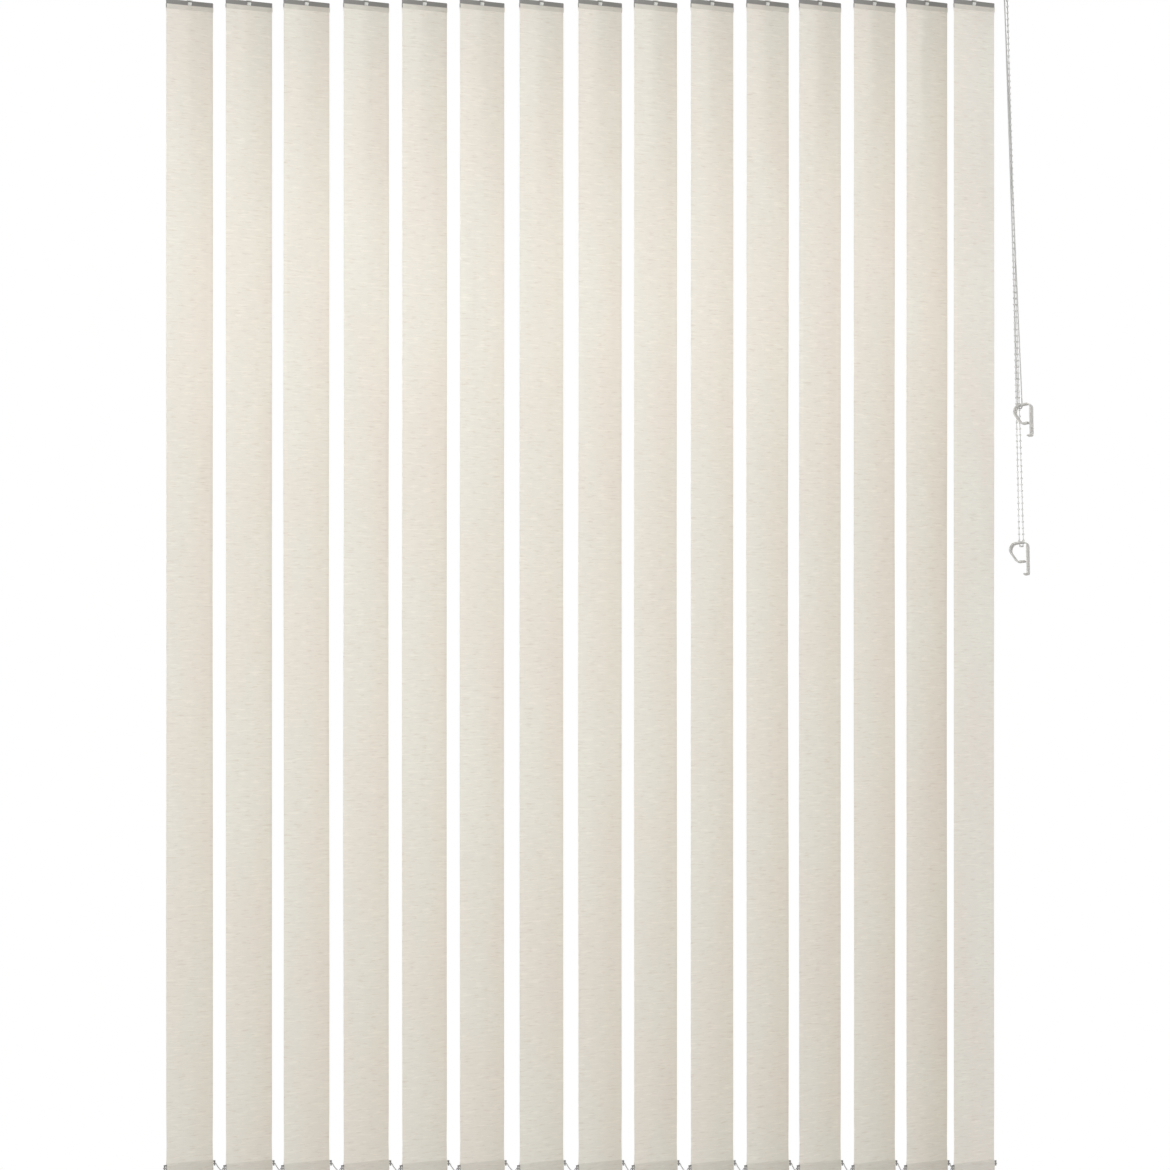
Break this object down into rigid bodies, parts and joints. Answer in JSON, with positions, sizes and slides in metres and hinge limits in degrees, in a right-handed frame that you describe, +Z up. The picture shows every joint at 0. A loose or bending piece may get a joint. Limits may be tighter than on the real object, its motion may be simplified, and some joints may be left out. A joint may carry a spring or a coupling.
{
  "type": "vertical blind",
  "caption": "Corded vertical blind: cream fabric slats hang from turning stems in a ceiling-fixed headrail, with a draw cord, a bead chain and bottom chains.",
  "frame": {"origin": "screw hole of the middle ceiling bracket, on the ceiling", "axes": "+X along the headrail to the controls, -Y to the room, +Z up"},
  "size_m": [1.6721, 0.1082, 2.337],
  "materials": {
    "rail_paint": "satin white powder coat on aluminium",
    "cap_plastic": "matt white moulded plastic",
    "bracket_steel": "white painted spring steel",
    "rod_aluminium": "drawn aluminium",
    "drive_plastic": "natural white nylon",
    "carrier_plastic": "pale grey moulded plastic",
    "spacer_steel": "spring steel strip",
    "cord_braid": "braided pale grey polyester cord",
    "bead_plastic": "white moulded beads on cord",
    "clip_plastic": "translucent grey-white moulded plastic",
    "chain_plastic": "pale grey link chain",
    "slat_cloth": "cream slub weave, slightly translucent",
    "hanger_plastic": "grey moulded plastic",
    "stem_plastic": "white moulded plastic",
    "weight_plastic": "dark grey coated weight"
  },
  "bodies": {
    "headrail": {"headrail": "rail_paint", "end_cap_control": "cap_plastic", "end_cap_idle": "cap_plastic", "ceiling_brackets": "bracket_steel", "p_clips": "clip_plastic", "rail_cord": "cord_braid", "draw_cord": "cord_braid", "tilt_chain": "bead_plastic", "carrier_15": "carrier_plastic"},
    "tilt_rod": {"tilt_rod": "rod_aluminium", "chain_sprocket": "drive_plastic"},
    "cord_pulley_front": {"cord_pulley_front": "drive_plastic"},
    "cord_pulley_back": {"cord_pulley_back": "drive_plastic"},
    "idle_pulley": {"idle_pulley": "drive_plastic"},
    "front_chain": {"front_chain": "chain_plastic"},
    "back_chain": {"back_chain": "chain_plastic"},
    "carrier_01": {"carrier_01": "carrier_plastic"},
    "slat_01": {"slat_01": "slat_cloth"},
    "worm_01": {"worm_01": "drive_plastic"},
    "carrier_02": {"carrier_02": "carrier_plastic"},
    "slat_02": {"slat_02": "slat_cloth"},
    "worm_02": {"worm_02": "drive_plastic"},
    "carrier_03": {"carrier_03": "carrier_plastic"},
    "slat_03": {"slat_03": "slat_cloth"},
    "worm_03": {"worm_03": "drive_plastic"},
    "carrier_04": {"carrier_04": "carrier_plastic"},
    "slat_04": {"slat_04": "slat_cloth"},
    "worm_04": {"worm_04": "drive_plastic"},
    "carrier_05": {"carrier_05": "carrier_plastic"},
    "slat_05": {"slat_05": "slat_cloth"},
    "worm_05": {"worm_05": "drive_plastic"},
    "carrier_06": {"carrier_06": "carrier_plastic"},
    "slat_06": {"slat_06": "slat_cloth"},
    "worm_06": {"worm_06": "drive_plastic"},
    "carrier_07": {"carrier_07": "carrier_plastic"},
    "slat_07": {"slat_07": "slat_cloth"},
    "worm_07": {"worm_07": "drive_plastic"},
    "carrier_08": {"carrier_08": "carrier_plastic"},
    "slat_08": {"slat_08": "slat_cloth"},
    "worm_08": {"worm_08": "drive_plastic"},
    "carrier_09": {"carrier_09": "carrier_plastic"},
    "slat_09": {"slat_09": "slat_cloth"},
    "worm_09": {"worm_09": "drive_plastic"},
    "carrier_10": {"carrier_10": "carrier_plastic"},
    "slat_10": {"slat_10": "slat_cloth"},
    "worm_10": {"worm_10": "drive_plastic"},
    "carrier_11": {"carrier_11": "carrier_plastic"},
    "slat_11": {"slat_11": "slat_cloth"},
    "worm_11": {"worm_11": "drive_plastic"},
    "carrier_12": {"carrier_12": "carrier_plastic"},
    "slat_12": {"slat_12": "slat_cloth"},
    "worm_12": {"worm_12": "drive_plastic"},
    "carrier_13": {"carrier_13": "carrier_plastic"},
    "slat_13": {"slat_13": "slat_cloth"},
    "worm_13": {"worm_13": "drive_plastic"},
    "carrier_14": {"carrier_14": "carrier_plastic"},
    "slat_14": {"slat_14": "slat_cloth"},
    "worm_14": {"worm_14": "drive_plastic"},
    "slat_15": {"slat_15": "slat_cloth"},
    "worm_15": {"worm_15": "drive_plastic"}
  },
  "joints": [
    {"name": "traverse", "type": "slide", "parent": "headrail", "child": "carrier_01", "axis": [1, 0, 0], "range_m": [0, 1.2605], "deforming": ["front_chain", "back_chain"]},
    {"name": "tilt", "type": "hinge", "parent": "headrail", "child": "slat_15", "pos_m": [0.75625, 0, 0], "axis": [0, 0, 1], "range_deg": [-35, 112]},
    {"name": "slat_01_turn", "type": "hinge", "parent": "carrier_01", "child": "slat_01", "pos_m": [-0.75625, 0, 0], "axis": [0, 0, 1], "range_deg": [-35, 112]},
    {"name": "worm_01_turn", "type": "hinge", "parent": "carrier_01", "child": "worm_01", "pos_m": [-0.75625, 0.0085, -0.021], "axis": [1, 0, 0], "range_deg": [-175, 560]},
    {"name": "carrier_02_slide", "type": "slide", "parent": "headrail", "child": "carrier_02", "axis": [1, 0, 0], "range_m": [0, 1.1645]},
    {"name": "slat_02_turn", "type": "hinge", "parent": "carrier_02", "child": "slat_02", "pos_m": [-0.64175, 0, 0], "axis": [0, 0, 1], "range_deg": [-35, 112]},
    {"name": "worm_02_turn", "type": "hinge", "parent": "carrier_02", "child": "worm_02", "pos_m": [-0.64175, 0.0085, -0.021], "axis": [1, 0, 0], "range_deg": [-175, 560]},
    {"name": "carrier_03_slide", "type": "slide", "parent": "headrail", "child": "carrier_03", "axis": [1, 0, 0], "range_m": [0, 1.0715]},
    {"name": "slat_03_turn", "type": "hinge", "parent": "carrier_03", "child": "slat_03", "pos_m": [-0.53075, 0, 0], "axis": [0, 0, 1], "range_deg": [-35, 112]},
    {"name": "worm_03_turn", "type": "hinge", "parent": "carrier_03", "child": "worm_03", "pos_m": [-0.53075, 0.0085, -0.021], "axis": [1, 0, 0], "range_deg": [-175, 560]},
    {"name": "carrier_04_slide", "type": "slide", "parent": "headrail", "child": "carrier_04", "axis": [1, 0, 0], "range_m": [0, 0.9745]},
    {"name": "slat_04_turn", "type": "hinge", "parent": "carrier_04", "child": "slat_04", "pos_m": [-0.41575, 0, 0], "axis": [0, 0, 1], "range_deg": [-35, 112]},
    {"name": "worm_04_turn", "type": "hinge", "parent": "carrier_04", "child": "worm_04", "pos_m": [-0.41575, 0.0085, -0.021], "axis": [1, 0, 0], "range_deg": [-175, 560]},
    {"name": "carrier_05_slide", "type": "slide", "parent": "headrail", "child": "carrier_05", "axis": [1, 0, 0], "range_m": [0, 0.88]},
    {"name": "slat_05_turn", "type": "hinge", "parent": "carrier_05", "child": "slat_05", "pos_m": [-0.30325, 0, 0], "axis": [0, 0, 1], "range_deg": [-35, 112]},
    {"name": "worm_05_turn", "type": "hinge", "parent": "carrier_05", "child": "worm_05", "pos_m": [-0.30325, 0.0085, -0.021], "axis": [1, 0, 0], "range_deg": [-175, 560]},
    {"name": "carrier_06_slide", "type": "slide", "parent": "headrail", "child": "carrier_06", "axis": [1, 0, 0], "range_m": [0, 0.787]},
    {"name": "slat_06_turn", "type": "hinge", "parent": "carrier_06", "child": "slat_06", "pos_m": [-0.19225, 0, 0], "axis": [0, 0, 1], "range_deg": [-35, 112]},
    {"name": "worm_06_turn", "type": "hinge", "parent": "carrier_06", "child": "worm_06", "pos_m": [-0.19225, 0.0085, -0.021], "axis": [1, 0, 0], "range_deg": [-175, 560]},
    {"name": "carrier_07_slide", "type": "slide", "parent": "headrail", "child": "carrier_07", "axis": [1, 0, 0], "range_m": [0, 0.6905]},
    {"name": "slat_07_turn", "type": "hinge", "parent": "carrier_07", "child": "slat_07", "pos_m": [-0.07775, 0, 0], "axis": [0, 0, 1], "range_deg": [-35, 112]},
    {"name": "worm_07_turn", "type": "hinge", "parent": "carrier_07", "child": "worm_07", "pos_m": [-0.07775, 0.0085, -0.021], "axis": [1, 0, 0], "range_deg": [-175, 560]},
    {"name": "carrier_08_slide", "type": "slide", "parent": "headrail", "child": "carrier_08", "axis": [1, 0, 0], "range_m": [0, 0.5955]},
    {"name": "slat_08_turn", "type": "hinge", "parent": "carrier_08", "child": "slat_08", "pos_m": [0.03525, 0, 0], "axis": [0, 0, 1], "range_deg": [-35, 112]},
    {"name": "worm_08_turn", "type": "hinge", "parent": "carrier_08", "child": "worm_08", "pos_m": [0.03525, 0.0085, -0.021], "axis": [1, 0, 0], "range_deg": [-175, 560]},
    {"name": "carrier_09_slide", "type": "slide", "parent": "headrail", "child": "carrier_09", "axis": [1, 0, 0], "range_m": [0, 0.5065]},
    {"name": "slat_09_turn", "type": "hinge", "parent": "carrier_09", "child": "slat_09", "pos_m": [0.14225, 0, 0], "axis": [0, 0, 1], "range_deg": [-35, 112]},
    {"name": "worm_09_turn", "type": "hinge", "parent": "carrier_09", "child": "worm_09", "pos_m": [0.14225, 0.0085, -0.021], "axis": [1, 0, 0], "range_deg": [-175, 560]},
    {"name": "carrier_10_slide", "type": "slide", "parent": "headrail", "child": "carrier_10", "axis": [1, 0, 0], "range_m": [0, 0.4155]},
    {"name": "slat_10_turn", "type": "hinge", "parent": "carrier_10", "child": "slat_10", "pos_m": [0.25125, 0, 0], "axis": [0, 0, 1], "range_deg": [-35, 112]},
    {"name": "worm_10_turn", "type": "hinge", "parent": "carrier_10", "child": "worm_10", "pos_m": [0.25125, 0.0085, -0.021], "axis": [1, 0, 0], "range_deg": [-175, 560]},
    {"name": "carrier_11_slide", "type": "slide", "parent": "headrail", "child": "carrier_11", "axis": [1, 0, 0], "range_m": [0, 0.3265]},
    {"name": "slat_11_turn", "type": "hinge", "parent": "carrier_11", "child": "slat_11", "pos_m": [0.35825, 0, 0], "axis": [0, 0, 1], "range_deg": [-35, 112]},
    {"name": "worm_11_turn", "type": "hinge", "parent": "carrier_11", "child": "worm_11", "pos_m": [0.35825, 0.0085, -0.021], "axis": [1, 0, 0], "range_deg": [-175, 560]},
    {"name": "carrier_12_slide", "type": "slide", "parent": "headrail", "child": "carrier_12", "axis": [1, 0, 0], "range_m": [0, 0.2435]},
    {"name": "slat_12_turn", "type": "hinge", "parent": "carrier_12", "child": "slat_12", "pos_m": [0.45925, 0, 0], "axis": [0, 0, 1], "range_deg": [-35, 112]},
    {"name": "worm_12_turn", "type": "hinge", "parent": "carrier_12", "child": "worm_12", "pos_m": [0.45925, 0.0085, -0.021], "axis": [1, 0, 0], "range_deg": [-175, 560]},
    {"name": "carrier_13_slide", "type": "slide", "parent": "headrail", "child": "carrier_13", "axis": [1, 0, 0], "range_m": [0, 0.1565]},
    {"name": "slat_13_turn", "type": "hinge", "parent": "carrier_13", "child": "slat_13", "pos_m": [0.56425, 0, 0], "axis": [0, 0, 1], "range_deg": [-35, 112]},
    {"name": "worm_13_turn", "type": "hinge", "parent": "carrier_13", "child": "worm_13", "pos_m": [0.56425, 0.0085, -0.021], "axis": [1, 0, 0], "range_deg": [-175, 560]},
    {"name": "carrier_14_slide", "type": "slide", "parent": "headrail", "child": "carrier_14", "axis": [1, 0, 0], "range_m": [0, 0.0735]},
    {"name": "slat_14_turn", "type": "hinge", "parent": "carrier_14", "child": "slat_14", "pos_m": [0.66525, 0, 0], "axis": [0, 0, 1], "range_deg": [-35, 112]},
    {"name": "worm_14_turn", "type": "hinge", "parent": "carrier_14", "child": "worm_14", "pos_m": [0.66525, 0.0085, -0.021], "axis": [1, 0, 0], "range_deg": [-175, 560]},
    {"name": "worm_15_turn", "type": "hinge", "parent": "headrail", "child": "worm_15", "pos_m": [0.75625, 0.0085, -0.021], "axis": [1, 0, 0], "range_deg": [-175, 560]},
    {"name": "rod_turn", "type": "hinge", "parent": "headrail", "child": "tilt_rod", "pos_m": [0.82, 0.0085, -0.021], "axis": [1, 0, 0], "range_deg": [-175, 560]},
    {"name": "cord_pulley_front_turn", "type": "hinge", "parent": "headrail", "child": "cord_pulley_front", "pos_m": [0.807, -0.0155, -0.0185], "axis": [0, 1, 0], "range_deg": [0, 12038]},
    {"name": "cord_pulley_back_turn", "type": "hinge", "parent": "headrail", "child": "cord_pulley_back", "pos_m": [0.807, -0.0045, -0.0185], "axis": [0, 1, 0], "range_deg": [-12038, 0]},
    {"name": "idle_pulley_turn", "type": "hinge", "parent": "headrail", "child": "idle_pulley", "pos_m": [-0.788, -0.01, -0.0125], "axis": [0, 0, 1], "range_deg": [0, 13133]},
    {"name": "front_chain_swing", "type": "hinge", "parent": "slat_15", "child": "front_chain", "pos_m": [0.71122, -0.05162, -2.299], "axis": [0, 0, 1], "range_deg": [-112, 35]},
    {"name": "back_chain_swing", "type": "hinge", "parent": "slat_15", "child": "back_chain", "pos_m": [0.80128, 0.05162, -2.299], "axis": [0, 0, 1], "range_deg": [-112, 35]}
  ],
  "couplings": [
    {"joint": "slat_01_turn", "follows": "tilt", "ratio": 1},
    {"joint": "worm_01_turn", "follows": "tilt", "ratio": 5},
    {"joint": "carrier_02_slide", "follows": "traverse", "ratio": 0.92344},
    {"joint": "slat_02_turn", "follows": "tilt", "ratio": 1},
    {"joint": "worm_02_turn", "follows": "tilt", "ratio": 5},
    {"joint": "carrier_03_slide", "follows": "traverse", "ratio": 0.84966},
    {"joint": "slat_03_turn", "follows": "tilt", "ratio": 1},
    {"joint": "worm_03_turn", "follows": "tilt", "ratio": 5},
    {"joint": "carrier_04_slide", "follows": "traverse", "ratio": 0.77271},
    {"joint": "slat_04_turn", "follows": "tilt", "ratio": 1},
    {"joint": "worm_04_turn", "follows": "tilt", "ratio": 5},
    {"joint": "carrier_05_slide", "follows": "traverse", "ratio": 0.69774},
    {"joint": "slat_05_turn", "follows": "tilt", "ratio": 1},
    {"joint": "worm_05_turn", "follows": "tilt", "ratio": 5},
    {"joint": "carrier_06_slide", "follows": "traverse", "ratio": 0.62396},
    {"joint": "slat_06_turn", "follows": "tilt", "ratio": 1},
    {"joint": "worm_06_turn", "follows": "tilt", "ratio": 5},
    {"joint": "carrier_07_slide", "follows": "traverse", "ratio": 0.5474},
    {"joint": "slat_07_turn", "follows": "tilt", "ratio": 1},
    {"joint": "worm_07_turn", "follows": "tilt", "ratio": 5},
    {"joint": "carrier_08_slide", "follows": "traverse", "ratio": 0.47203},
    {"joint": "slat_08_turn", "follows": "tilt", "ratio": 1},
    {"joint": "worm_08_turn", "follows": "tilt", "ratio": 5},
    {"joint": "carrier_09_slide", "follows": "traverse", "ratio": 0.40143},
    {"joint": "slat_09_turn", "follows": "tilt", "ratio": 1},
    {"joint": "worm_09_turn", "follows": "tilt", "ratio": 5},
    {"joint": "carrier_10_slide", "follows": "traverse", "ratio": 0.32923},
    {"joint": "slat_10_turn", "follows": "tilt", "ratio": 1},
    {"joint": "worm_10_turn", "follows": "tilt", "ratio": 5},
    {"joint": "carrier_11_slide", "follows": "traverse", "ratio": 0.25863},
    {"joint": "slat_11_turn", "follows": "tilt", "ratio": 1},
    {"joint": "worm_11_turn", "follows": "tilt", "ratio": 5},
    {"joint": "carrier_12_slide", "follows": "traverse", "ratio": 0.19278},
    {"joint": "slat_12_turn", "follows": "tilt", "ratio": 1},
    {"joint": "worm_12_turn", "follows": "tilt", "ratio": 5},
    {"joint": "carrier_13_slide", "follows": "traverse", "ratio": 0.12376},
    {"joint": "slat_13_turn", "follows": "tilt", "ratio": 1},
    {"joint": "worm_13_turn", "follows": "tilt", "ratio": 5},
    {"joint": "carrier_14_slide", "follows": "traverse", "ratio": 0.057914},
    {"joint": "slat_14_turn", "follows": "tilt", "ratio": 1},
    {"joint": "worm_14_turn", "follows": "tilt", "ratio": 5},
    {"joint": "worm_15_turn", "follows": "tilt", "ratio": 5},
    {"joint": "rod_turn", "follows": "tilt", "ratio": 5},
    {"joint": "cord_pulley_front_turn", "follows": "traverse", "rad_per_m": 166.67},
    {"joint": "cord_pulley_back_turn", "follows": "traverse", "rad_per_m": -166.67},
    {"joint": "idle_pulley_turn", "follows": "traverse", "rad_per_m": 181.82},
    {"joint": "front_chain_swing", "follows": "tilt", "ratio": -1},
    {"joint": "back_chain_swing", "follows": "tilt", "ratio": -1}
  ]
}
